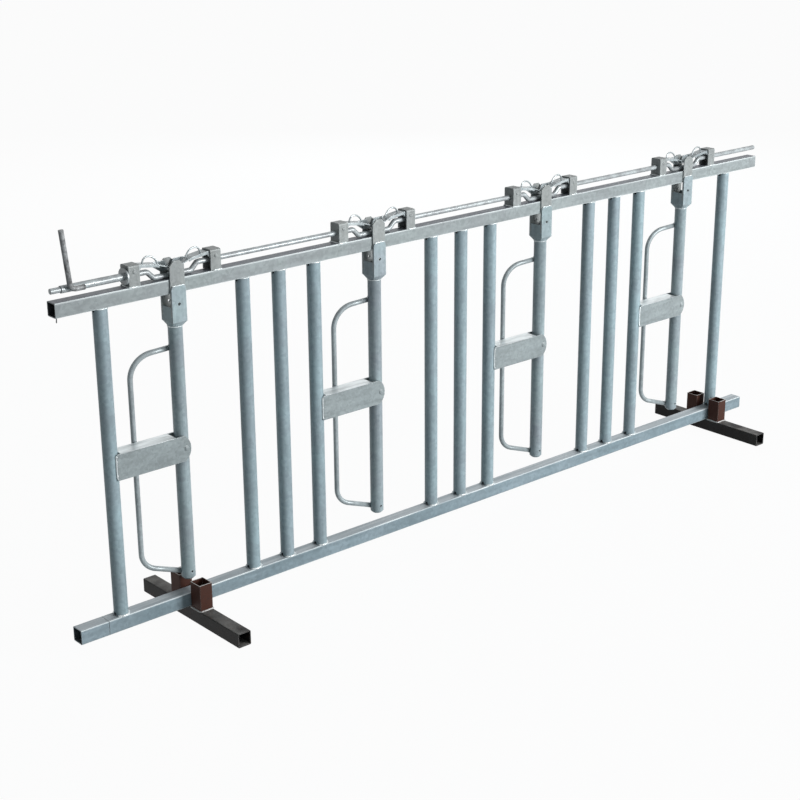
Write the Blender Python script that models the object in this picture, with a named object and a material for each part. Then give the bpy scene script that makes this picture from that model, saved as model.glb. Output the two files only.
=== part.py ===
"""Four-place cattle headlock panel: swinging arms, self-locking latches and one release rod.

Frame: x runs along the panel to the right, y points away from the feed side, z is up.
The origin is on the floor, under the middle of the panel. All sizes are in metres.
"""
import math

import bmesh
import bpy
from mathutils import Matrix, Vector

# Panel
PANEL_TOP = 1.055
HEADS = 4
FIRST_POST_INSET = 0.146
LAST_POST_INSET = 0.164
NECK_SPAN = 0.476
INFILL_PITCH = 0.131
INFILL_POSTS = 2

# Round tube of the posts and arms
TUBE_OD = 0.0424
TUBE_WALL = 0.0029
TUBE_SIDES = 24

# Fits
SEAT_GAP = 0.0003
RAIL_CLEARANCE = 0.0005
PIN_CLEARANCE = 0.0003
ARM_SIDE_CLEARANCE = 0.0008

# Rails
BOTTOM_RAIL_SIDE = 0.045
RAIL_WALL = 0.003
RAIL_CORNER = 0.004
LEAST_INNER_CORNER = 0.0006
STUB_LENGTH = 0.091
STUB_GROOVE = 0.0015
SPIGOT_LENGTH = 0.050
VENT_RADIUS = 0.006

# Feet and their sockets
FOOT_SIDE = 0.045
FOOT_WALL = 0.003
FOOT_CORNER = 0.003
FOOT_LENGTH = 0.500
FOOT_SHIFT_Y = -0.015
LEFT_FOOT_INSET = 0.3915
RIGHT_FOOT_INSET = 0.185
SOCKET_WIDTH = 0.045
SOCKET_DEPTH = 0.050
SOCKET_WALL = 0.003
SOCKET_HEIGHT = 0.085
SOCKET_RAIL_GAP = 0.0055

# Arms
ARM_BOTTOM = 0.130
ARM_CAP_CHAMFER = 0.006
ARM_SWING = math.radians(10.5)
PIVOT_HEIGHT = 0.5485
PIVOT_PIN_OD = 0.012
BUSH_WALL = 0.004
BUSH_SIDES = 16
ARM_VENT_RADIUS = 0.0035
ARM_VENT_HEIGHT = 0.155

# Square cup on the arm's head and the fork straps welded into it, measured from the rail's top
STRAP_WIDTH = 0.048
STRAP_THICKNESS = 0.004
STRAP_RISE = 0.051
STRAP_CHAMFER = 0.014
STRAP_DROP = 0.108
CUP_FOOT_DROP = 0.141
CUP_FLOOR_DROP = 0.126
CUP_SIDE_DROP = 0.082
CUP_TOP_DROP = 0.020
CUP_WALL = 0.0032
CUP_CORNER = 0.010
STRAP_HOLE_DROP = 0.073
STRAP_HOLE_RADIUS = 0.0045

# Lock lug inside the rear strap
LUG_OD = 0.008
LUG_LENGTH = 0.0115
LUG_RAIL_CLEARANCE = 0.0012

# Pivot channels
CHANNEL_HEIGHT = 0.078
CHANNEL_WALL = 0.004
CHANNEL_NOSE = 0.0165
CHANNEL_ARCH = 0.0206
CHANNEL_LAP = 0.0076
CHANNEL_WEB_GAP = 0.0025
NOSE_STEPS = 8

# Guard rods on the arms
GUARD_OD = 0.016
GUARD_SIDES = 10
GUARD_REACH = 0.135
GUARD_OFFSET = 0.038
GUARD_TOP = 0.848
GUARD_BOTTOM = 0.149
GUARD_FOOT_RISE = 0.047
GUARD_BEND = 0.034
GUARD_END_BEND = 0.020
GUARD_WELD_Y = 0.014
GUARD_JOG = 0.045

# Release rod
ROD_OD = 0.016
ROD_SIDES = 12
ROD_RISE = 0.029
ROD_OVERHANG = 0.008
ROD_TURN = math.radians(35.0)
DIP_TOP_HALF = 0.083
DIP_FLOOR_HALF = 0.062
DIP_BEND = 0.014
CAM_DEPTH = 0.0009
CAM_LENGTH = 0.009
SLEEVE_OD = 0.0213
SLEEVE_INSET = 0.031
STOP_DISC_OD = 0.050
STOP_DISC_THICKNESS = 0.005
STOP_DISC_GAP = 0.0005

# Handle on the release rod
HANDLE_OD = 0.015
HANDLE_INSET = 0.052
HANDLE_FOOT = 0.043
HANDLE_LEAN = 0.016
HANDLE_RISE = 0.164
HANDLE_BEND = 0.016

# Latch brackets on the top rail
LATCH_REACH = 0.135
BRACKET_LENGTH = 0.035
BRACKET_WALL = 0.004
BRACKET_MARGIN = 0.019
BRACKET_BEND = 0.005
RIVET_OD = 0.008
RIVET_ROD_GAP = 0.001
RIVET_HEAD_OD = 0.013
RIVET_HEAD_HEIGHT = 0.003
PIVOT_HEAD_OD = 0.017
PIVOT_HEAD_HEIGHT = 0.004

# Latches
LATCH_DROP = math.radians(3.0)
LATCH_PLATE = 0.003
LATCH_SIDE_CLEARANCE = 0.0006
LATCH_WEB_CLEARANCE = 0.0006
LATCH_SHOULDER = 0.026
LATCH_KNEE_REACH = 0.075
LATCH_KNEE_FALL = 0.0095
LATCH_BACK = 0.0115
LATCH_EAR_FRONT = 0.013
LATCH_EAR_DEPTH = 0.010
FRONT_FLANGE_DEPTH = 0.0085
FRONT_FLANGE_END = 0.085
REAR_FLANGE_DEPTH = 0.012
REAR_PLATE_REACH = 0.120
REAR_PLATE_FALL = 0.0045
TRAP_CLEARANCE = 0.0025
HOOK_LENGTH = 0.024
LIFT_CLEARANCE = 0.0012
CRANK_CLEARANCE = 0.001
HEEL_REACH = 0.010
HEEL_THICKNESS = 0.003
HEEL_WIDTH = 0.007
HEEL_CAM_GAP = 0.0004
RING_REACH = 0.064
RING_RADIUS = 0.0245
RING_WIRE = 0.005
RING_SIDES = 8
RING_STEPS = 10
RING_SINK = 0.0025

SMOOTH_ANGLE = math.radians(35.0)
BEND_STEPS = 4
HOLE_SIDES = 12
STRAIGHT_ANGLE = 1e-4
DOME_WIDTH = 0.6
DOME_RISE = 0.8

# Places that follow from the sizes above
TUBE_RADIUS = TUBE_OD / 2
FORK_HALF_GAP = TUBE_RADIUS + SEAT_GAP
TOP_RAIL_SIDE = 2 * (FORK_HALF_GAP - RAIL_CLEARANCE)
UNIT_PITCH = NECK_SPAN + INFILL_POSTS * INFILL_PITCH
PANEL_LENGTH = FIRST_POST_INSET + (HEADS - 1) * UNIT_PITCH + NECK_SPAN + LAST_POST_INSET
FIRST_POST_X = -PANEL_LENGTH / 2 + FIRST_POST_INSET
LEFT_FOOT_X = -PANEL_LENGTH / 2 + LEFT_FOOT_INSET
RIGHT_FOOT_X = PANEL_LENGTH / 2 - RIGHT_FOOT_INSET
TOP_RAIL_FLOOR = PANEL_TOP - TOP_RAIL_SIDE
BOTTOM_RAIL_FLOOR = FOOT_SIDE + SEAT_GAP
BOTTOM_RAIL_TOP = BOTTOM_RAIL_FLOOR + BOTTOM_RAIL_SIDE
STRAP_TOP = PANEL_TOP + STRAP_RISE
STRAP_FOOT = PANEL_TOP - STRAP_DROP
STRAP_HOLE_HEIGHT = PANEL_TOP - STRAP_HOLE_DROP
CUP_FOOT = PANEL_TOP - CUP_FOOT_DROP
CUP_FLOOR = PANEL_TOP - CUP_FLOOR_DROP
CUP_SIDE_TOP = PANEL_TOP - CUP_SIDE_DROP
CUP_TOP = PANEL_TOP - CUP_TOP_DROP
CUP_HALF_DEPTH = FORK_HALF_GAP + STRAP_THICKNESS + SEAT_GAP + CUP_WALL
CHANNEL_HALF_GAP = TUBE_RADIUS + ARM_SIDE_CLEARANCE
ROD_HEIGHT = PANEL_TOP + ROD_RISE
DIP_DEPTH = ROD_RISE - ROD_OD / 2 - SEAT_GAP
RIVET_HEIGHT = ROD_HEIGHT + ROD_OD / 2 + RIVET_OD / 2 + RIVET_ROD_GAP
BRACKET_TOP = RIVET_HEIGHT + BRACKET_MARGIN
LATCH_WIDTH = TOP_RAIL_SIDE - 2 * BRACKET_WALL - 2 * LATCH_SIDE_CLEARANCE
LATCH_ROOF_RISE = (BRACKET_TOP - BRACKET_WALL - LATCH_WEB_CLEARANCE - RIVET_HEIGHT
                   - BRACKET_LENGTH / 2 * math.sin(LATCH_DROP))
CRANK_TOP_TURNED = ROD_HEIGHT - DIP_DEPTH * math.cos(ROD_TURN) + ROD_OD / 2
LUG_FLOOR_AT_SWING = PANEL_TOP + LUG_RAIL_CLEARANCE
LUG_ARC = (LUG_FLOOR_AT_SWING + LUG_OD / 2 - PIVOT_HEIGHT) / math.cos(ARM_SWING)
LUG_HEIGHT = PIVOT_HEIGHT + LUG_ARC


def material(name, colour, metallic, roughness):
    """A plain finish: one base colour, metallic value and roughness."""
    finish = bpy.data.materials.new(name)
    finish.use_nodes = True
    shader = finish.node_tree.nodes["Principled BSDF"]
    shader.inputs["Base Color"].default_value = (*colour, 1.0)
    shader.inputs["Metallic"].default_value = metallic
    shader.inputs["Roughness"].default_value = roughness
    return finish


def arm_x(unit):
    return FIRST_POST_X + unit * UNIT_PITCH + NECK_SPAN / 2


def post_places():
    """Every post's x: a neck post, then the infill posts, then the next unit."""
    places = [FIRST_POST_X]
    for unit in range(HEADS):
        start = FIRST_POST_X + unit * UNIT_PITCH + NECK_SPAN
        infill = INFILL_POSTS if unit < HEADS - 1 else 0
        places += [start + step * INFILL_PITCH for step in range(infill + 1)]
    return places


def finished(name, bm, finish, place=(0, 0, 0), parent=None):
    """Turn a bmesh into a named, smooth-shaded object."""
    bmesh.ops.recalc_face_normals(bm, faces=bm.faces)
    mesh = bpy.data.meshes.new(name)
    bm.to_mesh(mesh)
    bm.free()
    mesh.materials.append(finish)
    mesh.shade_smooth()
    mesh.set_sharp_from_angle(angle=SMOOTH_ANGLE)
    return placed(name, mesh, place, parent)


def placed(name, mesh, place, parent=None, turn=0.0):
    thing = bpy.data.objects.new(name, mesh)
    thing.location = place
    thing.rotation_euler = (0.0, 0.0, turn)
    thing.parent = parent
    bpy.context.collection.objects.link(thing)
    return thing


def boolean(thing, tools, operation):
    """Apply the tools to a thing with the exact solver, then drop the tools."""
    for tool in tools:
        step = thing.modifiers.new(tool.name, "BOOLEAN")
        step.operation = operation
        step.solver = "EXACT"
        step.object = tool
    bpy.context.view_layer.update()
    graph = bpy.context.evaluated_depsgraph_get()
    mesh = bpy.data.meshes.new_from_object(thing.evaluated_get(graph))
    thing.modifiers.clear()
    thing.data = mesh
    mesh.shade_smooth()
    mesh.set_sharp_from_angle(angle=SMOOTH_ANGLE)
    for tool in tools:
        bpy.data.objects.remove(tool)
    return thing


def rounded_rectangle(width, height, corner):
    """Corner arcs of a rectangle centred on the origin, in order."""
    points = []
    for quarter, (sx, sy) in enumerate(((1, 1), (-1, 1), (-1, -1), (1, -1))):
        for step in range(BEND_STEPS):
            angle = math.pi / 2 * (quarter + step / (BEND_STEPS - 1))
            points.append((sx * (width / 2 - corner) + corner * math.cos(angle),
                           sy * (height / 2 - corner) + corner * math.sin(angle)))
    return points


def circle(radius, sides, centre=(0.0, 0.0)):
    return [(centre[0] + radius * math.cos(2 * math.pi * step / sides),
             centre[1] + radius * math.sin(2 * math.pi * step / sides))
            for step in range(sides)]


def add_prism(bm, outline, axis, low, high, hole=None):
    """Extrude an outline along x, y or z; a hole has as many points as the outline.

    The outline's two coordinates are the remaining axes in the order x, y, z.
    """
    def lift(point, along):
        first, second = point
        return {"x": (along, first, second), "y": (first, along, second),
                "z": (first, second, along)}[axis]

    loops = [[bm.verts.new(lift(point, along)) for point in line]
             for line in (outline, hole) if line for along in (low, high)]
    count = len(outline)
    for start in range(0, len(loops), 2):
        for step in range(count):
            after = (step + 1) % count
            bm.faces.new((loops[start][step], loops[start][after],
                          loops[start + 1][after], loops[start + 1][step]))
    if hole:
        for outer, inner in ((loops[0], loops[2]), (loops[1], loops[3])):
            for step in range(count):
                after = (step + 1) % count
                bm.faces.new((outer[step], outer[after], inner[after], inner[step]))
    else:
        bm.faces.new(loops[0])
        bm.faces.new(loops[1])


def prism(name, finish, outline, axis, low, high, hole=None, place=(0, 0, 0), parent=None):
    bm = bmesh.new()
    add_prism(bm, outline, axis, low, high, hole)
    return finished(name, bm, finish, place, parent)


def box(name, x, y, z, finish):
    """A block from (low, high) pairs."""
    corners = [(x[0], y[0]), (x[1], y[0]), (x[1], y[1]), (x[0], y[1])]
    return prism(name, finish, corners, "z", z[0], z[1])


def pin(name, axis, radius, low, high, centre, finish, sides=BUSH_SIDES):
    return prism(name, finish, circle(radius, sides, centre), axis, low, high)


def bent_path(corners, bends):
    """Points of a path whose inner corners are rounded to the given bend radii."""
    points = [Vector(corners[0])]
    for here in range(1, len(corners) - 1):
        before, corner, after = (Vector(corners[here + shift]) for shift in (-1, 0, 1))
        inward, outward = (before - corner).normalized(), (after - corner).normalized()
        half = inward.angle(outward) / 2
        radius = bends[here - 1]
        centre = corner + (inward + outward).normalized() * radius / math.sin(half)
        start = corner + inward * radius / math.tan(half) - centre
        finish = corner + outward * radius / math.tan(half) - centre
        for step in range(BEND_STEPS):
            points.append(centre + radius * start.slerp(finish, step / (BEND_STEPS - 1)))
    points.append(Vector(corners[-1]))
    return points


def add_bar(bm, path, radius, sides):
    """Sweep a round section along a path and cap both ends."""
    rings = []
    normal = None
    for here, point in enumerate(path):
        ahead = path[min(here + 1, len(path) - 1)] - point
        behind = point - path[max(here - 1, 0)]
        run = (ahead.normalized() + behind.normalized()).normalized()
        lean = ahead.angle(behind) / 2 if ahead.length and behind.length else 0.0
        if normal is None:
            normal = run.orthogonal().normalized()
        normal = (normal - run * normal.dot(run)).normalized()
        side = run.cross(normal)
        bend = (ahead.normalized() - behind.normalized()) if lean > STRAIGHT_ANGLE else Vector()
        stretch = 1 / math.cos(lean) - 1
        ring = []
        for step in range(sides):
            angle = 2 * math.pi * step / sides
            spoke = (normal * math.cos(angle) + side * math.sin(angle)) * radius
            if bend.length:
                along = bend.normalized()
                spoke += along * spoke.dot(along) * stretch
            ring.append(bm.verts.new(point + spoke))
        rings.append(ring)
    for near, far in zip(rings, rings[1:]):
        for step in range(sides):
            after = (step + 1) % sides
            bm.faces.new((near[step], near[after], far[after], far[step]))
    bm.faces.new(rings[0])
    bm.faces.new(rings[-1])


def bar(name, finish, path, radius, sides, place=(0, 0, 0), parent=None):
    bm = bmesh.new()
    add_bar(bm, path, radius, sides)
    return finished(name, bm, finish, place, parent)


def stacked(name, levels):
    """A solid through outlines of equal count, each at its own height."""
    bm = bmesh.new()
    rings = [[bm.verts.new((x, y, height)) for x, y in outline] for height, outline in levels]
    count = len(rings[0])
    for near, far in zip(rings, rings[1:]):
        for step in range(count):
            after = (step + 1) % count
            bm.faces.new((near[step], near[after], far[after], far[step]))
    bm.faces.new(rings[0])
    bm.faces.new(rings[-1])
    return finished(name, bm, GALVANISED)


def rivet(name, finish, centre, radius, grip, head_radius, head_height, sides=HOLE_SIDES):
    """A pin along y, peened over outside both plates that hold it."""
    bm = bmesh.new()
    profile = [(0.0, -grip - head_height),
               (DOME_WIDTH * head_radius, -grip - DOME_RISE * head_height),
               (head_radius, -grip), (radius, -grip)]
    profile += [(across, -along) for across, along in reversed(profile)]
    x, z = centre
    rings = []
    for across, along in profile:
        if across == 0.0:
            rings.append([bm.verts.new((x, along, z))])
        else:
            rings.append([bm.verts.new((x + dx, along, z + dz))
                          for dx, dz in circle(across, sides)])
    for near, far in zip(rings, rings[1:]):
        for step in range(sides):
            after = (step + 1) % sides
            if len(near) == 1:
                bm.faces.new((near[0], far[after], far[step]))
            elif len(far) == 1:
                bm.faces.new((near[step], near[after], far[0]))
            else:
                bm.faces.new((near[step], near[after], far[after], far[step]))
    return finished(name, bm, finish)


def axis_empty(name, place):
    empty = bpy.data.objects.new(name, None)
    empty.location = place
    bpy.context.collection.objects.link(empty)
    return empty


def square_tube(side_y, side_z, wall, corner):
    """Outer and inner outlines of a square tube with rounded corners."""
    inner_corner = max(corner - wall, LEAST_INNER_CORNER)
    return (rounded_rectangle(side_y, side_z, corner),
            rounded_rectangle(side_y - 2 * wall, side_z - 2 * wall, inner_corner))


def build_rails():
    outer, inner = square_tube(TOP_RAIL_SIDE, TOP_RAIL_SIDE, RAIL_WALL, RAIL_CORNER)
    half = PANEL_LENGTH / 2
    prism("top_rail", GALVANISED, outer, "x", -half, half, inner,
          (0, 0, PANEL_TOP - TOP_RAIL_SIDE / 2))

    outer, inner = square_tube(BOTTOM_RAIL_SIDE, BOTTOM_RAIL_SIDE, RAIL_WALL, RAIL_CORNER)
    middle = (0, 0, BOTTOM_RAIL_TOP - BOTTOM_RAIL_SIDE / 2)
    stub_end = -half + STUB_LENGTH
    prism("bottom_rail", GALVANISED, outer, "x", stub_end + STUB_GROOVE, half, inner, middle)

    stub = prism("bottom_rail_stub", GALVANISED, outer, "x", -half, stub_end, inner, middle)
    slip = BOTTOM_RAIL_SIDE - 2 * RAIL_WALL - 2 * SEAT_GAP
    spigot_outer, spigot_inner = square_tube(slip, slip, RAIL_WALL, RAIL_CORNER - RAIL_WALL)
    spigot = prism("spigot", GALVANISED, spigot_outer, "x", stub_end - SPIGOT_LENGTH / 2,
                   stub_end + SPIGOT_LENGTH, spigot_inner, middle)
    collar_outer, collar_inner = square_tube(slip + 4 * SEAT_GAP, slip + 4 * SEAT_GAP,
                                             RAIL_WALL, RAIL_CORNER - RAIL_WALL)
    collar = prism("collar", GALVANISED, collar_outer, "x", stub_end - SPIGOT_LENGTH / 2,
                   stub_end - SPIGOT_LENGTH / 4, collar_inner, middle)
    boolean(stub, [spigot, collar], "UNION")


def build_posts():
    """Plumb tubes between the rails, each with a vent notch at its top and foot."""
    foot = BOTTOM_RAIL_TOP + SEAT_GAP
    length = TOP_RAIL_FLOOR - SEAT_GAP - foot
    post = prism("post_01", GALVANISED, circle(TUBE_RADIUS, TUBE_SIDES), "z", 0, length,
                 circle(TUBE_RADIUS - TUBE_WALL, TUBE_SIDES))
    reach = (-TUBE_OD, -TUBE_RADIUS / 2)
    vents = [pin("vent", "x", VENT_RADIUS, *reach, (0.0, height), GALVANISED, HOLE_SIDES)
             for height in (0.0, length)]
    boolean(post, vents, "DIFFERENCE")
    places = post_places()
    post.location = (places[0], 0, foot)
    for number, x in enumerate(places[1:], start=2):
        placed(f"post_{number:02d}", post.data, (x, 0, foot))


def build_feet():
    outer, inner = square_tube(FOOT_SIDE, FOOT_SIDE, FOOT_WALL, FOOT_CORNER)
    back = FOOT_SHIFT_Y + FOOT_LENGTH / 2
    front = FOOT_SHIFT_Y - FOOT_LENGTH / 2
    for name, x in (("foot_left", LEFT_FOOT_X), ("foot_right", RIGHT_FOOT_X)):
        prism(name, MILL_SCALE, outer, "y", front, back, inner, (x, 0, FOOT_SIDE / 2))

    outer, inner = square_tube(SOCKET_WIDTH, SOCKET_DEPTH, SOCKET_WALL, FOOT_CORNER)
    reach = BOTTOM_RAIL_SIDE / 2 + SOCKET_RAIL_GAP + SOCKET_DEPTH / 2
    for word, x in (("left", LEFT_FOOT_X), ("right", RIGHT_FOOT_X)):
        for end, y in (("front", -reach), ("back", reach)):
            prism(f"socket_{word}_{end}", PRIMER, outer, "z", SEAT_GAP, SOCKET_HEIGHT, inner,
                  (x, y, FOOT_SIDE))


def channel_outline(left):
    """Side view of a pivot channel about the pivot: a plate with an arched nose."""
    half = CHANNEL_HEIGHT / 2
    radius = (half ** 2 + CHANNEL_ARCH ** 2) / (2 * CHANNEL_ARCH)
    spread = math.asin(half / radius)
    arc = []
    for step in range(NOSE_STEPS + 1):
        angle = -spread + 2 * spread * step / NOSE_STEPS
        arc.append((CHANNEL_NOSE - radius + radius * math.cos(angle), radius * math.sin(angle)))
    return [(left, half), (left, -half), *arc]


def build_channels():
    """Inverted channels from the neck posts to the arms, open beside the arm."""
    left = -NECK_SPAN / 2
    half = CHANNEL_HEIGHT / 2
    outer_half = CHANNEL_HALF_GAP + CHANNEL_WALL
    mesh = None
    for unit in range(HEADS):
        place = (arm_x(unit), 0, PIVOT_HEIGHT)
        name = f"pivot_channel_{unit + 1}"
        if mesh:
            placed(name, mesh, place)
            continue
        channel = prism(name, GALVANISED, channel_outline(left + CHANNEL_LAP), "y",
                        -outer_half, outer_half)
        inside = (-CHANNEL_HALF_GAP, CHANNEL_HALF_GAP)
        web_left = left + TUBE_RADIUS + SEAT_GAP
        sway = half * math.tan(ARM_SWING) + TUBE_RADIUS / math.cos(ARM_SWING)
        web_right = -sway - CHANNEL_WEB_GAP
        cutters = [box("hollow", (left - TUBE_OD, NECK_SPAN), inside,
                       (-CHANNEL_HEIGHT, half - CHANNEL_WALL), GALVANISED),
                   box("post_notch", (left - TUBE_OD, web_left), inside,
                       (-CHANNEL_HEIGHT, CHANNEL_HEIGHT), GALVANISED),
                   box("arm_notch", (web_right, NECK_SPAN), inside,
                       (-CHANNEL_HEIGHT, CHANNEL_HEIGHT), GALVANISED)]
        boolean(channel, cutters, "DIFFERENCE")
        pivot_pin = rivet("pivot_pin", GALVANISED, (0.0, 0.0), PIVOT_PIN_OD / 2, outer_half,
                          PIVOT_HEAD_OD / 2, PIVOT_HEAD_HEIGHT, BUSH_SIDES)
        boolean(channel, [pivot_pin], "UNION")
        channel.location = place
        mesh = channel.data


def fork_strap(side):
    """One inner fork strap with a clipped top, in x and z about the pivot."""
    def about(height):
        return height - PIVOT_HEIGHT

    half = STRAP_WIDTH / 2
    top = about(STRAP_TOP)
    plate = [(-half, about(STRAP_FOOT)), (half, about(STRAP_FOOT)), (half, top - STRAP_CHAMFER),
             (half - STRAP_CHAMFER, top), (-half + STRAP_CHAMFER, top), (-half, top - STRAP_CHAMFER)]
    inner, outer = FORK_HALF_GAP, FORK_HALF_GAP + STRAP_THICKNESS
    return prism("strap", GALVANISED, plate, "y", *sorted((side * inner, side * outer)))


def cup_outline():
    """Front view of the cup about the pivot, with rounded upper corners."""
    half = STRAP_WIDTH / 2
    top = CUP_TOP - PIVOT_HEIGHT
    points = [(-half, CUP_FLOOR - PIVOT_HEIGHT), (half, CUP_FLOOR - PIVOT_HEIGHT)]
    for centre_x, start in ((half - CUP_CORNER, 0.0), (-half + CUP_CORNER, math.pi / 2)):
        for step in range(BEND_STEPS):
            angle = start + math.pi / 2 * step / (BEND_STEPS - 1)
            points.append((centre_x + CUP_CORNER * math.cos(angle),
                           top - CUP_CORNER + CUP_CORNER * math.sin(angle)))
    return points


def build_cup():
    """The square cup on the arm's head, with a square-to-round neck onto the tube."""
    floor, side_top = CUP_FLOOR - PIVOT_HEIGHT, CUP_SIDE_TOP - PIVOT_HEIGHT
    half = STRAP_WIDTH / 2
    cup = prism("cup", GALVANISED, cup_outline(), "y", -CUP_HALF_DEPTH, CUP_HALF_DEPTH)
    strap_space = FORK_HALF_GAP + STRAP_THICKNESS + SEAT_GAP
    between = FORK_HALF_GAP - SEAT_GAP
    above = (side_top, 2 * side_top)
    pocket = (STRAP_FOOT - SEAT_GAP - PIVOT_HEIGHT, 2 * side_top)
    across = (-STRAP_WIDTH, STRAP_WIDTH)
    inside = (-half + CUP_WALL, half - CUP_WALL)
    cutters = [box("rail_way", across, (-strap_space, strap_space), above, GALVANISED),
               box("front_pocket", across, (-strap_space, -between), pocket, GALVANISED),
               box("rear_pocket", across, (between, strap_space), pocket, GALVANISED),
               box("hollow", inside, (-between, between), (floor + CUP_WALL, 2 * side_top),
                   GALVANISED)]
    boolean(cup, cutters, "DIFFERENCE")

    ring = circle(TUBE_RADIUS, TUBE_SIDES)
    wide, deep = half - SEAT_GAP, CUP_HALF_DEPTH - SEAT_GAP
    base = [(wide * x / max(abs(x), abs(y)), deep * y / max(abs(x), abs(y))) for x, y in ring]
    neck = stacked("neck", ((CUP_FOOT - PIVOT_HEIGHT, ring), (floor + SEAT_GAP, base),
                            (floor + CUP_WALL / 2, ring)))
    return boolean(cup, [neck], "UNION")


def build_straps(prefix, pivot):
    """Front and rear straps that straddle the top rail, the rear one with its lock lug."""
    parts = {}
    outer = FORK_HALF_GAP + STRAP_THICKNESS
    for side in (-1, 1):
        strap = fork_strap(side)
        if side > 0:
            lug = pin("lug", "y", LUG_OD / 2, FORK_HALF_GAP - LUG_LENGTH,
                      FORK_HALF_GAP + STRAP_THICKNESS / 2, (0.0, LUG_HEIGHT - PIVOT_HEIGHT),
                      GALVANISED, HOLE_SIDES)
            boolean(strap, [lug], "UNION")
        hole = pin("hole", "y", STRAP_HOLE_RADIUS, -2 * outer, 2 * outer,
                   (0.0, STRAP_HOLE_HEIGHT - PIVOT_HEIGHT), GALVANISED, HOLE_SIDES)
        boolean(strap, [hole], "DIFFERENCE")
        part = "rear_strap" if side > 0 else "front_strap"
        strap.name = f"{prefix}_{part}"
        strap.parent = pivot
        parts[part] = strap.data
    return parts


def guard_path():
    """Route of a guard rod about the pivot: off the arm, down behind the channel and back."""
    top = GUARD_TOP - PIVOT_HEIGHT
    foot = GUARD_BOTTOM - PIVOT_HEIGHT
    weld_x = -math.sqrt(TUBE_RADIUS ** 2 - GUARD_WELD_Y ** 2) + GUARD_OD / 2
    slope = GUARD_FOOT_RISE / (GUARD_REACH - TUBE_RADIUS)
    corners = [(weld_x, GUARD_WELD_Y, top),
               (weld_x - GUARD_JOG, GUARD_OFFSET, top),
               (-GUARD_REACH, GUARD_OFFSET, top),
               (-GUARD_REACH, GUARD_OFFSET, foot + GUARD_FOOT_RISE),
               (weld_x - GUARD_JOG, GUARD_OFFSET, foot + slope * GUARD_JOG),
               (weld_x, GUARD_WELD_Y, foot)]
    bends = (GUARD_END_BEND, GUARD_BEND, GUARD_BEND, GUARD_END_BEND)
    return bent_path(corners, bends)


def build_arms():
    """Each arm: tube with its cap, pivot bush and head cup, two straps and a guard rod."""
    meshes = {}
    for unit in range(HEADS):
        prefix = f"arm_{unit + 1}"
        pivot = axis_empty(f"{prefix}_pivot", (arm_x(unit), 0, PIVOT_HEIGHT))
        if meshes:
            for part, mesh in meshes.items():
                placed(f"{prefix}_{part}", mesh, (0, 0, 0), pivot)
            continue
        low, high = ARM_BOTTOM - PIVOT_HEIGHT, CUP_FLOOR - PIVOT_HEIGHT
        tube = prism(f"{prefix}_tube", GALVANISED, circle(TUBE_RADIUS, TUBE_SIDES), "z",
                     low + ARM_CAP_CHAMFER, high, circle(TUBE_RADIUS - TUBE_WALL, TUBE_SIDES))
        cap = arm_cap(low)
        bore_radius = PIVOT_PIN_OD / 2 + PIN_CLEARANCE
        bush_half = CHANNEL_HALF_GAP - PIN_CLEARANCE
        bush = pin("bush", "y", bore_radius + BUSH_WALL, -bush_half, bush_half, (0.0, 0.0),
                   GALVANISED)
        boolean(tube, [cap, bush, build_cup()], "UNION")
        bore = pin("bore", "y", bore_radius, -TUBE_OD, TUBE_OD, (0.0, 0.0), GALVANISED)
        vent = pin("vent", "y", ARM_VENT_RADIUS, -TUBE_OD, -TUBE_RADIUS / 2,
                   (0.0, ARM_VENT_HEIGHT - PIVOT_HEIGHT), GALVANISED, HOLE_SIDES)
        hole = pin("hole", "y", STRAP_HOLE_RADIUS, -TUBE_OD, TUBE_OD,
                   (0.0, STRAP_HOLE_HEIGHT - PIVOT_HEIGHT), GALVANISED, HOLE_SIDES)
        boolean(tube, [bore, vent, hole], "DIFFERENCE")
        tube.parent = pivot
        guard = bar(f"{prefix}_guard_rod", GALVANISED, guard_path(), GUARD_OD / 2, GUARD_SIDES)
        cope = pin("cope", "z", TUBE_RADIUS + SEAT_GAP, 2 * low, 2 * high, (0.0, 0.0), GALVANISED,
                   TUBE_SIDES)
        boolean(guard, [cope], "DIFFERENCE")
        guard.parent = pivot
        meshes = {"tube": tube.data, "guard_rod": guard.data, **build_straps(prefix, pivot)}


def arm_cap(low):
    """The pressed cap that closes an arm's lower end with a chamfered rim."""
    rim = circle(TUBE_RADIUS, TUBE_SIDES)
    return stacked("cap", ((low, circle(TUBE_RADIUS - ARM_CAP_CHAMFER, TUBE_SIDES)),
                           (low + ARM_CAP_CHAMFER, rim),
                           (low + ARM_CAP_CHAMFER + TUBE_WALL, rim)))


def bracket_outline():
    """End view of a latch bracket: an arch with two bent upper corners."""
    side = TOP_RAIL_SIDE / 2
    foot = PANEL_TOP + SEAT_GAP
    points = [(-side, foot), (side, foot)]
    for centre, start in ((side - BRACKET_BEND, 0.0), (-side + BRACKET_BEND, math.pi / 2)):
        for step in range(BEND_STEPS):
            angle = start + math.pi / 2 * step / (BEND_STEPS - 1)
            points.append((centre + BRACKET_BEND * math.cos(angle),
                           BRACKET_TOP - BRACKET_BEND + BRACKET_BEND * math.sin(angle)))
    return points


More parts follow.
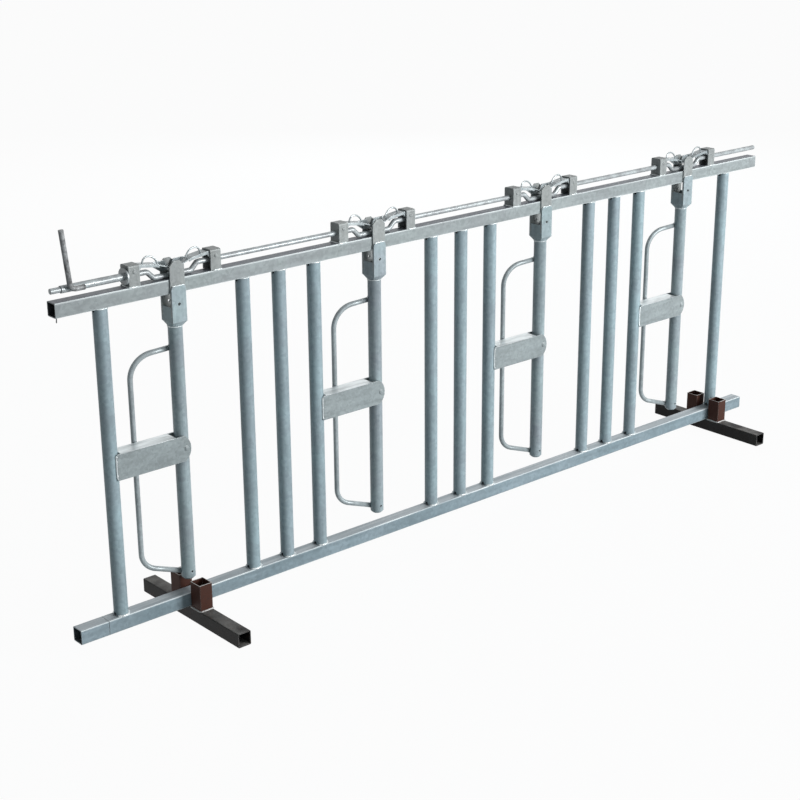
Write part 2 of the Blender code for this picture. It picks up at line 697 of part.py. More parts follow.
def build_brackets():
    """Latch brackets: an arched plate whose end web carries the release rod."""
    half = BRACKET_LENGTH / 2
    side = TOP_RAIL_SIDE / 2
    inside = (-side + BRACKET_WALL, side - BRACKET_WALL)
    bracket = prism("latch_bracket", GALVANISED, bracket_outline(), "x", -half, half)
    cutters = [box("hollow", (-half + BRACKET_WALL, BRACKET_LENGTH), inside,
                   (PANEL_TOP / 2, BRACKET_TOP - BRACKET_WALL), GALVANISED),
               pin("rod_hole", "x", ROD_OD / 2 + PIN_CLEARANCE, -BRACKET_LENGTH, BRACKET_LENGTH,
                   (0.0, ROD_HEIGHT), GALVANISED)]
    boolean(bracket, cutters, "DIFFERENCE")
    latch_rivet = rivet("latch_rivet", GALVANISED, (0.0, RIVET_HEIGHT), RIVET_OD / 2, side,
                        RIVET_HEAD_OD / 2, RIVET_HEAD_HEIGHT)
    mesh = boolean(bracket, [latch_rivet], "UNION").data
    bpy.data.objects.remove(bracket)
    for unit in range(HEADS):
        for word, way in (("left", -1), ("right", 1)):
            x = arm_x(unit) + way * LATCH_REACH
            turn = 0.0 if way < 0 else math.pi
            placed(f"latch_bracket_{unit + 1}_{word}", mesh, (x, 0, 0), turn=turn)


def latch_roof():
    """Upper edge of a latch's roof about its rivet, from its back to its tip, dropped."""
    tip = LATCH_REACH - LUG_OD / 2 - TRAP_CLEARANCE
    tip_height = CRANK_TOP_TURNED + CRANK_CLEARANCE + LATCH_PLATE - RIVET_HEIGHT
    return [(-LATCH_BACK, LATCH_ROOF_RISE), (LATCH_SHOULDER, LATCH_ROOF_RISE),
            (LATCH_KNEE_REACH, LATCH_ROOF_RISE - LATCH_KNEE_FALL), (tip, tip_height)]


def roof_height(along):
    """Height of the roof's upper edge at a place along the latch."""
    for (near, near_height), (far, far_height) in zip(latch_roof(), latch_roof()[1:]):
        if along <= far:
            break
    return near_height + (far_height - near_height) * (along - near) / (far - near)


def below_roof(places, depth):
    return [(along, roof_height(along) - depth) for along in places]


def build_latch_mesh(way):
    """A latch about its rivet, drawn dropped and then lifted to its rest angle.

    The profile runs along the latch towards the arm; way is +1 for a left latch.
    """
    roof_top = latch_roof()
    tip = roof_top[-1][0]
    roof = roof_top + [(along, height - LATCH_PLATE) for along, height in reversed(roof_top)]

    under = LATCH_PLATE / 2
    ear = [(-LATCH_BACK, LATCH_ROOF_RISE - under), (-LATCH_BACK, -LATCH_EAR_DEPTH),
           (LATCH_EAR_FRONT, -LATCH_EAR_DEPTH)]
    bends = (LATCH_SHOULDER, LATCH_KNEE_REACH)
    front = (ear + below_roof((*bends, FRONT_FLANGE_END), FRONT_FLANGE_DEPTH)
             + below_roof((FRONT_FLANGE_END, *reversed(bends)), under))

    lug_top = LUG_HEIGHT + LUG_OD / 2 - RIVET_HEIGHT
    hook_floor = (lug_top + LIFT_CLEARANCE - tip * math.sin(LATCH_DROP)) / math.cos(LATCH_DROP)
    knee_height = roof_height(LATCH_KNEE_REACH)
    rear = (ear + below_roof(bends, REAR_FLANGE_DEPTH)
            + [(tip - HOOK_LENGTH, hook_floor), (tip, hook_floor), (tip, roof_top[-1][1]),
               (REAR_PLATE_REACH, knee_height - REAR_PLATE_FALL)]
            + below_roof(reversed(bends), under))

    rest_floor = ROD_HEIGHT + ROD_OD / 2 + HEEL_CAM_GAP - RIVET_HEIGHT
    heel_floor = rest_floor * math.cos(LATCH_DROP) - HEEL_REACH * math.sin(LATCH_DROP)
    heel_ends = (HEEL_REACH - HEEL_THICKNESS / 2, HEEL_REACH + HEEL_THICKNESS / 2)

    half = LATCH_WIDTH / 2
    body = prism("latch", ZINC_PLATED, roof, "y", -half, half)
    pieces = [prism("front", ZINC_PLATED, front, "y", -half, -half + LATCH_PLATE),
              prism("rear", ZINC_PLATED, rear, "y", half - LATCH_PLATE, half),
              box("heel", heel_ends, (-HEEL_WIDTH / 2, HEEL_WIDTH / 2),
                  (heel_floor, LATCH_ROOF_RISE - under), ZINC_PLATED),
              pull_ring()]
    boolean(body, pieces, "UNION")
    hole = pin("hole", "y", RIVET_OD / 2 + PIN_CLEARANCE, -LATCH_WIDTH, LATCH_WIDTH, (0.0, 0.0),
               ZINC_PLATED, HOLE_SIDES)
    boolean(body, [hole], "DIFFERENCE")

    mesh = body.data
    mesh.transform(Matrix.Rotation(-LATCH_DROP, 4, "Y"))
    if way < 0:
        mesh.transform(Matrix.Scale(-1, 4, (1, 0, 0)))
        mesh.flip_normals()
    bpy.data.objects.remove(body)
    return mesh


def pull_ring():
    """The half-loop of wire that stands along a latch's roof, with both feet on it."""
    back, front = (roof_height(RING_REACH + way * RING_RADIUS) - RING_SINK for way in (-1, 1))
    path = []
    for step in range(RING_STEPS + 1):
        angle = math.pi * step / RING_STEPS
        share = (1 - math.cos(angle)) / 2
        path.append(Vector((RING_REACH - RING_RADIUS * math.cos(angle), 0.0,
                            back + (front - back) * share + RING_RADIUS * math.sin(angle))))
    return bar("ring", ZINC_PLATED, path, RING_WIRE / 2, RING_SIDES)


def build_latches():
    meshes = {"left": build_latch_mesh(1), "right": build_latch_mesh(-1)}
    for unit in range(HEADS):
        for word, way in (("left", -1), ("right", 1)):
            x = arm_x(unit) + way * LATCH_REACH
            placed(f"latch_{unit + 1}_{word}", meshes[word], (x, 0, RIVET_HEIGHT))


def rod_path():
    """The release rod's centre line, dipping under every fork, about its own axis."""
    half = PANEL_LENGTH / 2
    corners = [(-half, 0, 0)]
    for unit in range(HEADS):
        x = arm_x(unit)
        corners += [(x - DIP_TOP_HALF, 0, 0), (x - DIP_FLOOR_HALF, 0, -DIP_DEPTH),
                    (x + DIP_FLOOR_HALF, 0, -DIP_DEPTH), (x + DIP_TOP_HALF, 0, 0)]
    corners.append((half + ROD_OVERHANG, 0, 0))
    return bent_path(corners, [DIP_BEND] * (len(corners) - 2))


def build_release_rod():
    """Cranked rod, end sleeve with its stop disc, and handle, all on the rod's axis."""
    axis = axis_empty("release_rod_axis", (0, 0, ROD_HEIGHT))
    rod = bar("release_rod", ZINC_PLATED, rod_path(), ROD_OD / 2, ROD_SIDES)
    flats = []
    for unit in range(HEADS):
        for way in (-1, 1):
            flat = box("flat", (-CAM_LENGTH / 2, CAM_LENGTH / 2), (-ROD_OD, ROD_OD),
                       (ROD_OD / 2 - CAM_DEPTH, 2 * ROD_OD), ZINC_PLATED)
            flat.rotation_euler = (ROD_TURN, 0, 0)
            flat.location = (arm_x(unit) + way * (LATCH_REACH - HEEL_REACH), 0, 0)
            flats.append(flat)
    boolean(rod, flats, "DIFFERENCE")
    rod.parent = axis

    bore = circle(ROD_OD / 2 + PIN_CLEARANCE, BUSH_SIDES)
    disc_right = arm_x(0) - LATCH_REACH - BRACKET_LENGTH / 2 - STOP_DISC_GAP
    disc_left = disc_right - STOP_DISC_THICKNESS
    sleeve_start = -PANEL_LENGTH / 2 + SLEEVE_INSET
    sleeve = prism("rod_sleeve", ZINC_PLATED, circle(SLEEVE_OD / 2, BUSH_SIDES), "x",
                   sleeve_start, disc_right, bore)
    disc = prism("disc", ZINC_PLATED, circle(STOP_DISC_OD / 2, BUSH_SIDES), "x", disc_left,
                 disc_right, bore)
    boolean(sleeve, [disc], "UNION")
    sleeve.parent = axis

    front = -(SLEEVE_OD / 2 + SEAT_GAP + HANDLE_OD / 2)
    bend_x = -PANEL_LENGTH / 2 + HANDLE_INSET
    corners = [(bend_x + HANDLE_FOOT, front, 0), (bend_x, front, 0),
               (bend_x - HANDLE_LEAN, front, HANDLE_RISE)]
    bar("release_handle", ZINC_PLATED, bent_path(corners, [HANDLE_BEND]), HANDLE_OD / 2,
        ROD_SIDES, parent=axis)


for old in list(bpy.data.objects):
    bpy.data.objects.remove(old)

GALVANISED = material("galvanised_steel", (0.56, 0.58, 0.60), 0.85, 0.42)
ZINC_PLATED = material("zinc_plated_steel", (0.62, 0.65, 0.66), 0.9, 0.35)
MILL_SCALE = material("mill_scale_steel", (0.06, 0.06, 0.065), 0.4, 0.6)
PRIMER = material("red_oxide_primer", (0.13, 0.055, 0.04), 0.0, 0.65)

build_rails()
build_posts()
build_feet()
build_channels()
build_arms()
build_brackets()
build_latches()
build_release_rod()
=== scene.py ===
import math
import random

import bmesh
import bpy
from mathutils import Matrix, Vector


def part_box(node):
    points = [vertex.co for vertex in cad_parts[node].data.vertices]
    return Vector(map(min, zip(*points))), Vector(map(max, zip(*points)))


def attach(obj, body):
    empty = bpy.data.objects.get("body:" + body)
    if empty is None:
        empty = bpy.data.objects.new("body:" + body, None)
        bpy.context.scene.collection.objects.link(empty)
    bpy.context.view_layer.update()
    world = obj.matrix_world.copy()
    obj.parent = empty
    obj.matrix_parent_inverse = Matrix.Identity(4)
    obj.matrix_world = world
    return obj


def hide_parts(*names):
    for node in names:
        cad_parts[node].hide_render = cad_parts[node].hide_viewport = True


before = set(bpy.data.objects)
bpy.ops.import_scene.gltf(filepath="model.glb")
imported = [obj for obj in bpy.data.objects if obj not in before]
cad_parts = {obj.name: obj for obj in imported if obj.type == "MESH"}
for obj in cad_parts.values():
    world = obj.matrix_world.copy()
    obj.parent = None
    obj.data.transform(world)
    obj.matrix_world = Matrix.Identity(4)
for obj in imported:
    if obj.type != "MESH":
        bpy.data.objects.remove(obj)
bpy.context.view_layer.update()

# The camera stands a few steps off the panel's left end at head height, and looks
# down along the feed side with a long lens.
CAMERA_PLACE = (-3.5210, -3.7296, 2.2322)
CAMERA_TURN = (70.5931, 0.3913, -41.1709)
LENS_MM = 72.96
SENSOR_MM = 36.0

camera_data = bpy.data.cameras.new("studio_camera")
camera_data.lens = LENS_MM
camera_data.sensor_width = SENSOR_MM
camera = bpy.data.objects.new("studio_camera", camera_data)
camera.location = CAMERA_PLACE
camera.rotation_euler = [math.radians(angle) for angle in CAMERA_TURN]
bpy.context.scene.collection.objects.link(camera)
bpy.context.scene.camera = camera
bpy.context.scene.view_settings.view_transform = "Standard"

# The room is a plain pale floor under a white sky that lights more from the feed side.
# It reads as white to the eye and in the zinc, and keeps a faint shadow under the feet,
# but the light that floor and sky send into the shaded flanks is cool.
FLOOR_REACH = 30.0
FLOOR_CORNERS = ((-1, -1), (1, -1), (1, 1), (-1, 1))
FLOOR_TONE = (0.42, 0.475, 0.495, 1.0)
WHITE = (1.0, 1.0, 1.0, 1.0)
COOL_FILL = (0.92, 0.98, 1.0, 1.0)
BRIGHT_QUARTER = (0.40, -0.84, 0.36)
QUARTER_SPREAD = (-0.25, 1.0)
SKY_LIGHT = (0.06, 0.62)
SHADOW_SHARE = 0.04


def node(tree, kind, inputs=(), **settings):
    """One shader node; each input is a plain value or the output that feeds it."""
    made = tree.nodes.new("ShaderNode" + kind)
    for name, value in settings.items():
        setattr(made, name, value)
    for name, value in dict(inputs).items():
        if isinstance(value, bpy.types.NodeSocket):
            tree.links.new(value, made.inputs[name])
        else:
            made.inputs[name].default_value = value
    return made


def tone(tree, source, low, high, to_low=0.0, to_high=1.0):
    """Stretch a value between two levels, and hold it outside them."""
    return node(tree, "MapRange", {"Value": source, "From Min": low, "From Max": high,
                                   "To Min": to_low, "To Max": to_high}).outputs[0]


def largest(tree, *values):
    """The largest of several values."""
    found = values[0]
    for value in values[1:]:
        found = node(tree, "Math", {0: found, 1: value}, operation="MAXIMUM").outputs[0]
    return found


def seen_white(tree):
    """1 for a ray from the eye, or one that zinc or glass sends on, else 0."""
    path = node(tree, "LightPath").outputs
    return largest(tree, path["Is Camera Ray"], path["Is Glossy Ray"],
                   path["Is Transmission Ray"])


def emptied(owner):
    """The node tree of a sky or a finish, with nothing in it yet."""
    owner.use_nodes = True
    owner.node_tree.nodes.clear()
    return owner.node_tree


sky = bpy.data.worlds.new("studio_sky")
bpy.context.scene.world = sky
tree = emptied(sky)
way_out = node(tree, "TexCoord").outputs["Generated"]
quarter = node(tree, "VectorMath", {0: way_out, 1: BRIGHT_QUARTER}, operation="DOT_PRODUCT")
strength = tone(tree, quarter.outputs["Value"], *QUARTER_SPREAD, *SKY_LIGHT)
lighting = node(tree, "Background", {"Color": COOL_FILL, "Strength": strength})
showing = node(tree, "Background", {"Color": WHITE, "Strength": 1.0})
either = node(tree, "MixShader", {0: seen_white(tree), 1: lighting.outputs[0],
                                  2: showing.outputs[0]})
node(tree, "OutputWorld", {"Surface": either.outputs[0]})

floor_finish = bpy.data.materials.new("pale_floor")
tree = emptied(floor_finish)
matt = node(tree, "BsdfDiffuse", {"Color": FLOOR_TONE})
bright = node(tree, "Emission", {"Color": WHITE, "Strength": 1.0})
seen = node(tree, "Math", {0: seen_white(tree), 1: 1.0 - SHADOW_SHARE}, operation="MULTIPLY")
shown = node(tree, "MixShader", {0: seen.outputs[0], 1: matt.outputs[0], 2: bright.outputs[0]})
node(tree, "OutputMaterial", {"Surface": shown.outputs[0]})

floor_mesh = bpy.data.meshes.new("floor")
floor_mesh.from_pydata([(x * FLOOR_REACH, y * FLOOR_REACH, 0.0) for x, y in FLOOR_CORNERS],
                       [], [(0, 1, 2, 3)])
floor_mesh.materials.append(floor_finish)
floor = bpy.data.objects.new("floor", floor_mesh)
bpy.context.scene.collection.objects.link(floor)

# Two soft boxes light the panel, each with its place, side and power: one square to the
# feed side, which leaves the tubes' left flanks dark, and one behind for the far side.
SOFT_BOXES = {"main_soft_box": ((3.0, -6.0, 2.2), 3.0, 540.0),
              "back_soft_box": ((4.6, 4.8, 2.8), 3.0, 330.0)}
PANEL_MIDDLE = Vector((0.0, 0.0, 0.6))

for name, (place, side, power) in SOFT_BOXES.items():
    lamp_data = bpy.data.lights.new(name, "AREA")
    lamp_data.shape = "SQUARE"
    lamp_data.size = side
    lamp_data.energy = power
    lamp = bpy.data.objects.new(name, lamp_data)
    lamp.location = place
    lamp.rotation_euler = (PANEL_MIDDLE - Vector(place)).to_track_quat("-Z", "Y").to_euler()
    lamp.visible_glossy = name.startswith("main")
    bpy.context.scene.collection.objects.link(lamp)

# The eleven posts are round steel tube, dipped whole in molten zinc. The zinc has
# frozen in dull crystals, with cloudy patches and thin runs down each tube.
POST_ZINC = (0.270, 0.356, 0.386)
POST_SHADE = (0.246, 0.302, 0.332)
# Lightened edges, partly zinc worn bright and partly a painted highlight.
EDGE_WEAR_AND_HIGHLIGHT = (0.66, 0.70, 0.71)
# A painted highlight, laid along the rounded corners of square tube.
CORNER_HIGHLIGHT = (0.80, 0.85, 0.86)
# Near black, painted into the tubes' bores as shade.
BORE_PAINTED_SHADE = (0.032, 0.036, 0.039)

# The pattern of the zinc: how many to a metre, how fine each is, and how far the
# crystals' borders wander. Runs are drawn out down the tube.
CRYSTALS_PER_METRE = 105.0
WANDERS_PER_METRE, WANDER_DETAIL, WANDER_REACH = 60.0, 2.0, 0.006
PATCHES_PER_METRE, PATCH_DETAIL = 6.5, 5.0
RUNS_PER_METRE, RUN_DETAIL, RUNS_DOWN = 55.0, 3.0, (1, 1, 0.07)
GRAINS_PER_METRE, GRAIN_DETAIL = 900.0, 2.0
NOISE_ROUGHNESS = 0.55

# The part of each noise that shows, and how much it lightens, dulls or raises the skin.
PATCH_BAND, RUN_BAND, GRAIN_BAND = (0.36, 0.64), (0.36, 0.64), (0.35, 0.65)
CRYSTAL_LIFT, RUN_LIFT, GRAIN_LIFT = (0.90, 1.10), (0.90, 1.08), (0.96, 1.04)
MATT_BAND = (0.3, 0.7)
CRYSTAL_MATT, PATCH_MATT = (0.86, 1.12), (1.12, 0.92)
RUN_RELIEF, GRAIN_RELIEF = (0.22, 0.0006), (0.14, 0.0002)

# Painted highlights on edges and corners, faces that look up, and painted shade in bores: where
# each begins, and how far it covers.
EDGE_WIDTH, EDGE_SAMPLES = 0.0014, 4
EDGE_TURN = (0.995, 0.86)
EDGE_SHARE, EDGE_POLISH = 0.75, 0.12
CORNER_TURN = (0.985, 0.88)
CORNER_BAND, CORNER_SHARE = (0.35, 0.58), (0.25, 1.0)
LOOKING_UP = (0.6, 0.95)
TOP_BAND, TOP_THIN = (0.38, 0.62), 0.55
BORE_FADE = 0.0006


def product(tree, *values):
    """Several values multiplied together."""
    total = values[0]
    for value in values[1:]:
        total = node(tree, "Math", {0: total, 1: value}, operation="MULTIPLY").outputs[0]
    return total


def laid_over(tree, share, under, over):
    """A colour laid in the share given over a colour, or over what lies there already."""
    if isinstance(under, tuple):
        under = (*under, 1.0)
    mixed = node(tree, "Mix", {0: share, 6: under, 7: (*over, 1.0)}, data_type="RGBA")
    return mixed.outputs[2]


def clouds(tree, place, scale, detail, stretch=None):
    """Soft noise in metres, drawn out along one direction if a stretch is given."""
    if stretch:
        place = node(tree, "Mapping", {"Vector": place, "Scale": stretch}).outputs[0]
    return node(tree, "TexNoise", {"Vector": place, "Scale": scale, "Detail": detail,
                                   "Roughness": NOISE_ROUGHNESS}).outputs[0]


def facing(tree):
    """The way the steel's own face looks."""
    return node(tree, "NewGeometry").outputs["Normal"]


def looking_up(tree):
    """How squarely a face looks up."""
    return node(tree, "SeparateXYZ", {0: facing(tree)}).outputs["Z"]


def wear_and_highlight_edges(tree):
    """1 on a sharp corner of the steel and 0 on its flats, with the rounded normal; there edges
    are worn, and on the zinc also lightened as a painted highlight.
    """
    rounded = node(tree, "Bevel", {"Radius": EDGE_WIDTH}, samples=EDGE_SAMPLES).outputs[0]
    like = node(tree, "VectorMath", {0: rounded, 1: facing(tree)}, operation="DOT_PRODUCT")
    return tone(tree, like.outputs["Value"], *EDGE_TURN), rounded


def painted_corner_highlights(tree, run):
    """Where a painted highlight goes: 1 along the rounded corners of square tube, broken up by
    the runs, 0 on its flats.
    """
    straight = node(tree, "VectorMath", {0: facing(tree)}, operation="ABSOLUTE").outputs[0]
    axes = node(tree, "SeparateXYZ", {0: straight}).outputs
    squarest = largest(tree, axes["X"], axes["Y"], axes["Z"])
    return product(tree, tone(tree, squarest, *CORNER_TURN),
                   tone(tree, run, *CORNER_BAND, *CORNER_SHARE))


def in_bore(tree, place, middle, across, half):
    """Where painted shade goes: 1 inside a square tube and 0 on its outside, from its middle and
    two cross axes.
    """
    centred = node(tree, "VectorMath", {0: place, 1: middle}, operation="SUBTRACT")
    away = node(tree, "VectorMath", {0: centred.outputs[0]}, operation="ABSOLUTE").outputs[0]
    axes = node(tree, "SeparateXYZ", {0: away}).outputs
    return tone(tree, largest(tree, axes[across[0]], axes[across[1]]), half, half - BORE_FADE)


def relief(tree, height, normal, strength, depth):
    """The skin raised by a noise, to a depth in metres."""
    return node(tree, "Bump", {"Strength": strength, "Distance": depth, "Height": height,
                               "Normal": normal}).outputs[0]


def new_finish(name):
    """A new finish: itself, its node tree, its shader, and places in the frame's metres."""
    made = bpy.data.materials.new(name)
    made.use_nodes = True
    tree = made.node_tree
    place = node(tree, "TexCoord").outputs["Object"]
    return made, tree, tree.nodes["Principled BSDF"], place


def hot_dip_zinc(name, zinc, shade, dull=0.46, crystals=CRYSTALS_PER_METRE,
                 patches=PATCHES_PER_METRE, runs=RUNS_DOWN, metal=0.08, shine=0.22,
                 edge=EDGE_WEAR_AND_HIGHLIGHT, top=None, top_share=0.0, top_metal=0.0, square=False,
                 bore=None):
    """Dipped zinc: spangle, clouded patches, runs, fine grain, edges lightened partly for wear
    and partly as a painted highlight, and where asked a top tone, painted corner highlights and
    painted shade in the bore.
    """
    made, tree, shader, place = new_finish(name)
    wander = node(tree, "TexNoise", {"Vector": place, "Scale": WANDERS_PER_METRE,
                                     "Detail": WANDER_DETAIL})
    sway = node(tree, "VectorMath", {0: wander.outputs["Color"], 1: (WANDER_REACH,) * 3},
                operation="MULTIPLY")
    spot = node(tree, "VectorMath", {0: place, 1: sway.outputs[0]}, operation="ADD").outputs[0]
    spangle = node(tree, "TexVoronoi", {"Vector": spot, "Scale": crystals}, feature="F1")
    crystal = node(tree, "SeparateColor", {"Color": spangle.outputs["Color"]}).outputs[0]
    patch = clouds(tree, place, patches, PATCH_DETAIL)
    run = clouds(tree, place, RUNS_PER_METRE, RUN_DETAIL, runs)
    grain = clouds(tree, place, GRAINS_PER_METRE, GRAIN_DETAIL)
    edges, rounded = wear_and_highlight_edges(tree)

    body = laid_over(tree, tone(tree, patch, *PATCH_BAND), shade, zinc)
    lift = product(tree, tone(tree, crystal, 0.0, 1.0, *CRYSTAL_LIFT),
                   tone(tree, run, *RUN_BAND, *RUN_LIFT),
                   tone(tree, grain, *GRAIN_BAND, *GRAIN_LIFT))
    body = node(tree, "HueSaturation", {"Value": lift, "Color": body}).outputs[0]
    # Faces that look up take the top tone: painted shade on the top rail, dust with painted light
    # on the bottom rail, painted light on the channels.
    if top:
        lying = product(tree, tone(tree, looking_up(tree), *LOOKING_UP),
                        tone(tree, run, *TOP_BAND, TOP_THIN * top_share, top_share))
        body = laid_over(tree, lying, body, top)
    # Sharp edges are lightened, for wear and as a painted highlight.
    body = laid_over(tree, product(tree, edges, EDGE_SHARE), body, edge)
    if square:
        # Square tube gets a painted highlight along its corners.
        body = laid_over(tree, painted_corner_highlights(tree, run), body, CORNER_HIGHLIGHT)
    if bore:
        # Inside a bore the colour is painted near black as shade.
        body = laid_over(tree, in_bore(tree, place, *bore), body, BORE_PAINTED_SHADE)
    tree.links.new(body, shader.inputs["Base Color"])

    crystal_low, crystal_high = CRYSTAL_MATT
    matt = product(tree, tone(tree, crystal, 0.0, 1.0, dull * crystal_low, dull * crystal_high),
                   tone(tree, patch, *MATT_BAND, *PATCH_MATT))
    rubbed = node(tree, "Math", {0: matt, 1: product(tree, edges, EDGE_POLISH)},
                  operation="SUBTRACT")
    tree.links.new(rubbed.outputs[0], shader.inputs["Roughness"])
    skin = relief(tree, run, rounded, *RUN_RELIEF)
    tree.links.new(relief(tree, grain, skin, *GRAIN_RELIEF), shader.inputs["Normal"])
    shader.inputs["Metallic"].default_value = metal
    if top_metal:
        shiny = node(tree, "Math", {0: lying, 1: top_metal, 2: metal}, operation="MULTIPLY_ADD")
        tree.links.new(shiny.outputs[0], shader.inputs["Metallic"])
    shader.inputs["Specular IOR Level"].default_value = shine
    return made


def dress(finish, names):
    """Give steel that keeps the CAD's own shape its finish."""
    for name in names:
        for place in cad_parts[name].material_slots:
            place.material = finish


def fixed_piece(name, skin, finish, body):
    """A piece from a finished skin, smooth, riding on a body of the frame."""
    bmesh.ops.recalc_face_normals(skin, faces=skin.faces)
    mesh = bpy.data.meshes.new(name)
    skin.to_mesh(mesh)
    skin.free()
    mesh.shade_smooth()
    mesh.materials.append(finish)
    piece = bpy.data.objects.new(name, mesh)
    bpy.context.scene.collection.objects.link(piece)
    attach(piece, body)
    return piece


post_zinc = hot_dip_zinc("post_zinc", POST_ZINC, POST_SHADE)
posts = sorted(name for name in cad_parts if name.startswith("post_"))

# Before it was welded in, each tube had a round notch filed in its left side at both
# ends, so that zinc and air run out of it in the bath.
# The inside walls of each post take their own finish, painted near black as shade.
post_bore_painted_shade = hot_dip_zinc("post_bore_painted_shade", BORE_PAINTED_SHADE, BORE_PAINTED_SHADE, edge=BORE_PAINTED_SHADE)
POST_WALL = 0.0029
POST_COLUMNS = 96
NOTCH_HEIGHT = 0.0115
NOTCH_HALF_ARC = math.radians(20)
UPRIGHT_EDGE = 0.1

for name in posts:
    low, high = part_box(name)
    middle, radius = (low[0] + high[0]) / 2, (high[0] - low[0]) / 2
    skin, walls = bmesh.new(), []
    for reach in (radius, radius - POST_WALL):
        foot, head = [], []
        for turn in (math.tau * k / POST_COLUMNS for k in range(POST_COLUMNS)):
            across = (turn - math.pi) / NOTCH_HALF_ARC
            cut = NOTCH_HEIGHT * math.sqrt(max(0.0, 1 - across ** 2))
            x, y = middle + reach * math.cos(turn), reach * math.sin(turn)
            foot.append(skin.verts.new((x, y, low[2] + cut)))
            head.append(skin.verts.new((x, y, high[2] - cut)))
        walls += [foot, head]
    outer_foot, outer_head, inner_foot, inner_head = walls
    for k in range(POST_COLUMNS):
        near = (k + 1) % POST_COLUMNS
        for one, two in ((outer_foot, outer_head), (inner_foot, inner_head),
                         (outer_foot, inner_foot), (outer_head, inner_head)):
            face = skin.faces.new((one[k], one[near], two[near], two[k]))
            face.material_index = int(one is inner_foot)
    for edge in skin.edges:
        edge.smooth = abs(edge.verts[0].co.z - edge.verts[1].co.z) > UPRIGHT_EDGE
    post = fixed_piece(name + "_tube", skin, post_zinc, "frame")
    post.data.materials.append(post_bore_painted_shade)
    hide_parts(name)

# Every post is welded round its foot and its head, and the weld stops short of the
# notch that lets zinc run out. The beads are dipped too, and shine where they ripple.
WELD_ZINC = (0.72, 0.77, 0.78)
WELD_SHADE = (0.55, 0.59, 0.60)
WELD_CRYSTALS = 260.0
BEAD_SIDES = 7
BEAD_STEP = 0.0013
BEAD_RIPPLE, RIPPLE_SWELL = 0.0036, 0.15
BEAD_UNEVEN = 0.12
BEAD_TIP = 0.4
UPRIGHT_RUN = 0.8
RING_STEPS = 40
RING_GAP = 0.0006
RING_SINK = 0.0005
POST_BEAD = 0.0038
HEAD_BEAD = 0.0019
NOTCH_HALF_TURN = math.radians(34)
LOW_RAIL_EDGE = 0.0215
TOP_RAIL_EDGE = 0.0200
POST_SEED = 100


def spaced(path):
    """Points a bead's step apart along a path of short straight runs."""
    spots, left = [path[0]], BEAD_STEP
    for start, end in zip(path, path[1:]):
        span, at = (end - start).length, left
        while at <= span:
            spots.append(start.lerp(end, at / span))
            at += BEAD_STEP
        left = at - span
    return spots


def close_rings(skin, rings):
    """The skin between rings of points, closed at both ends."""
    for ring, ahead in zip(rings, rings[1:]):
        for k in range(len(ring)):
            near = (k + 1) % len(ring)
            skin.faces.new((ring[k], ring[near], ahead[near], ahead[k]))
    skin.faces.new(rings[0][::-1])
    skin.faces.new(rings[-1])


def lay_bead(skin, path, size, chance):
    """A hand-run weld bead along a path, rippled, a little uneven, thin at both ends."""
    spots = spaced([Vector(point) for point in path])
    last = len(spots) - 1
    rings = []
    for here, spot in enumerate(spots):
        run = (spots[min(here + 1, last)] - spots[max(here - 1, 0)]).normalized()
        side = run.cross((0, 0, 1) if abs(run.z) < UPRIGHT_RUN else (1, 0, 0)).normalized()
        rise = side.cross(run)
        swell = 1 + RIPPLE_SWELL * math.sin(math.tau * here * BEAD_STEP / BEAD_RIPPLE)
        swell += chance.uniform(-BEAD_UNEVEN, BEAD_UNEVEN)
        taper = min(1.0, BEAD_TIP + min(here, last - here) * BEAD_STEP / (2 * size))
        middle = spot + side * size * chance.uniform(-BEAD_UNEVEN, BEAD_UNEVEN)
        rings.append([skin.verts.new(middle + size * swell * taper
                                     * (side * math.cos(turn) + rise * math.sin(turn)))
                      for turn in (math.tau * k / BEAD_SIDES for k in range(BEAD_SIDES))])
    close_rings(skin, rings)


def welded(name, beads, finish, body, seed):
    """One piece of weld metal, from (path, size) for each bead."""
    skin, chance = bmesh.new(), random.Random(seed)
    for path, size in beads:
        lay_bead(skin, path, size, chance)
    fixed_piece(name, skin, finish, body)


def round_tube(middle, radius, level, start=0.0, sweep=math.tau, edge=math.inf):
    """Points round an upright tube, held within the edges of the rail under it."""
    turns = [start + sweep * k / RING_STEPS for k in range(RING_STEPS + 1)]
    return [(middle + radius * math.cos(turn), max(-edge, min(edge, radius * math.sin(turn))),
             level) for turn in turns]


weld_zinc = hot_dip_zinc("weld_zinc", WELD_ZINC, WELD_SHADE, dull=0.22, crystals=WELD_CRYSTALS,
                         metal=0.3, shine=0.6)
for number, name in enumerate(posts):
    low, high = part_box(name)
    middle, radius = (low[0] + high[0]) / 2, (high[0] - low[0]) / 2
    beads = [(round_tube(middle, radius + RING_GAP, level, math.pi + NOTCH_HALF_TURN,
                         math.tau - 2 * NOTCH_HALF_TURN, edge), size)
             for level, edge, size in ((low[2] + RING_SINK, LOW_RAIL_EDGE, POST_BEAD),
                                       (high[2] - RING_SINK, TOP_RAIL_EDGE, HEAD_BEAD))]
    welded(name + "_welds", beads, weld_zinc, "frame", POST_SEED + number)

# The top rail is square tube that carries the latch brackets. Its zinc is warmer and
# smoother than the posts', with long drawing marks, a painted highlight along its corners and a
# painted shade on its top face.
RAIL_ZINC = (0.268, 0.304, 0.306)
RAIL_SHADE = (0.238, 0.260, 0.268)
# The rail's top face is painted darker as shade.
RAIL_TOP_PAINTED_SHADE = (0.100, 0.103, 0.135)
RAIL_BORE_HALF = 0.0188
MARKS_ALONG = (0.05, 1, 1)


def rail_bore(name, half):
    """A rail's bore: its middle, the axes across it and half its width."""
    low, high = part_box(name)
    return (0.0, 0.0, (low[2] + high[2]) / 2), "YZ", half


